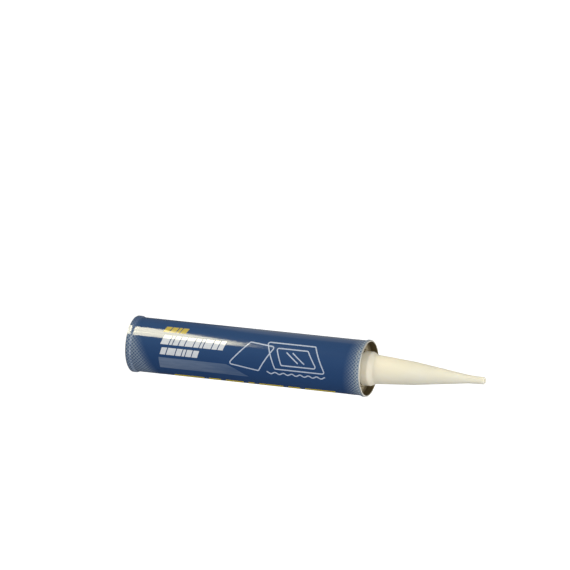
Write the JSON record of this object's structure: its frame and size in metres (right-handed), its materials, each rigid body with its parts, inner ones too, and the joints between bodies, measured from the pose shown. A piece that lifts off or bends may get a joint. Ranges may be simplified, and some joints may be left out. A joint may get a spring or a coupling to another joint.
{
  "type": "sealant cartridge",
  "caption": "Metal sealant cartridge in a printed film sleeve, with a double-seamed front end, a tapered screw-on nozzle and a lipped piston in its open rear end.",
  "frame": {"origin": "centre of the rear rim, on the plane the cartridge stands on", "axes": "+Z along the cartridge's axis, from the rear rim to the nozzle's tip; -Y towards the middle of the label's front"},
  "size_m": [0.0496, 0.0496, 0.3231],
  "materials": {
    "barrel_metal": "tinplate with a gold lacquer",
    "front_end_metal": "tinplate with a gold lacquer, pressed",
    "label_film": "printed film, satin gloss",
    "ink_hatch": "printed ink",
    "ink_grey": "printed ink",
    "ink_silver": "printed ink",
    "ink_white": "printed ink",
    "ink_yellow": "printed ink",
    "nozzle_plastic": "moulded polyethylene, satin",
    "piston_plastic": "moulded polyethylene, satin",
    "sealant_paste": "uncured urethane paste"
  },
  "bodies": {
    "cartridge": {"barrel": "barrel_metal", "front_end": "front_end_metal", "label": "label_film", "print_hatch": "ink_hatch", "print_grey": "ink_grey", "print_silver": "ink_silver", "print_white": "ink_white", "print_yellow": "ink_yellow", "sealant": "sealant_paste"},
    "nozzle": {"nozzle": "nozzle_plastic"},
    "piston": {"piston": "piston_plastic"}
  },
  "joints": [
    {"name": "nozzle_off", "type": "slide", "parent": "cartridge", "child": "nozzle", "axis": [0, 0, 1], "range_m": [0, 0.03]},
    {"name": "piston_slide", "type": "slide", "parent": "cartridge", "child": "piston", "axis": [0, 0, 1], "range_m": [0, 0.18], "deforming": ["sealant"]}
  ]
}
